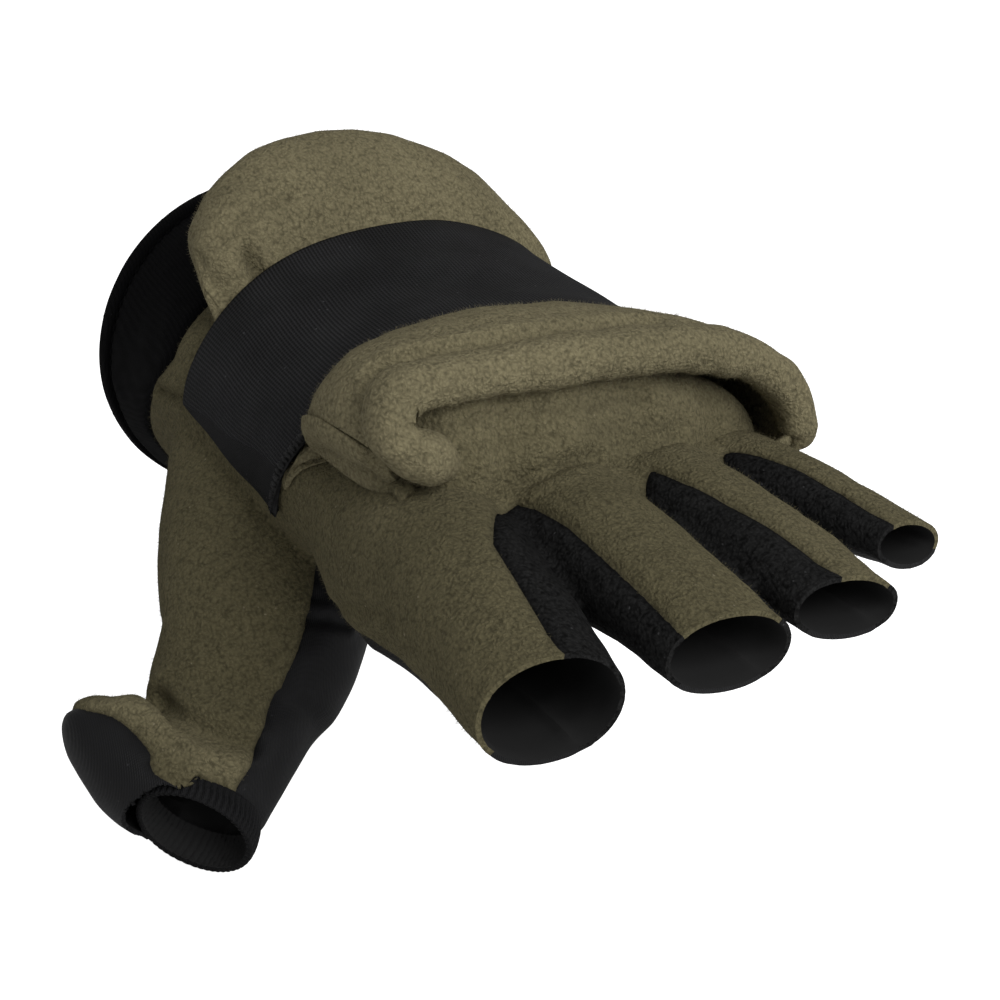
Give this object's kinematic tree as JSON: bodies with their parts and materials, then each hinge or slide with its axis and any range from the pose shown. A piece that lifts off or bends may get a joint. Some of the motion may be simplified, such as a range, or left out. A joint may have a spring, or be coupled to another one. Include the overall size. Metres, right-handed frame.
{
  "type": "convertible mitten glove",
  "caption": "Left fleece glove with open half fingers, a mitten hood folded back over the hand under a knit strap, a folded-back thumb cap and a stretch cuff.",
  "frame": {"origin": "centre of the cuff mouth, where the wrist goes in", "axes": "+Y out of the cuff mouth, away from the fingers; +Z out of the back of the hand; +X towards the little finger"},
  "size_m": [0.1368, 0.2092, 0.1411],
  "materials": {
    "olive_fleece": "brushed pile",
    "black_fleece": "brushed pile",
    "black_grip": "smooth stretch cloth with a faint sheen",
    "black_knit": "fine stretch knit"
  },
  "bodies": {
    "root": {"cuff_hem": "black_knit", "cuff": "black_knit", "back_panel": "olive_fleece", "palm_panel": "black_grip", "fourchette_index_middle": "black_fleece", "fourchette_middle_ring": "black_fleece", "fourchette_ring_pinky": "black_fleece", "thumb_back": "olive_fleece", "thumb_grip": "black_grip", "thumb_cap": "black_grip", "thumb_elastic": "black_knit", "hood_top": "olive_fleece", "hood_bottom": "olive_fleece", "hood_lip": "olive_fleece", "strap": "black_knit", "strap_edge": "black_knit"}
  },
  "joints": []
}
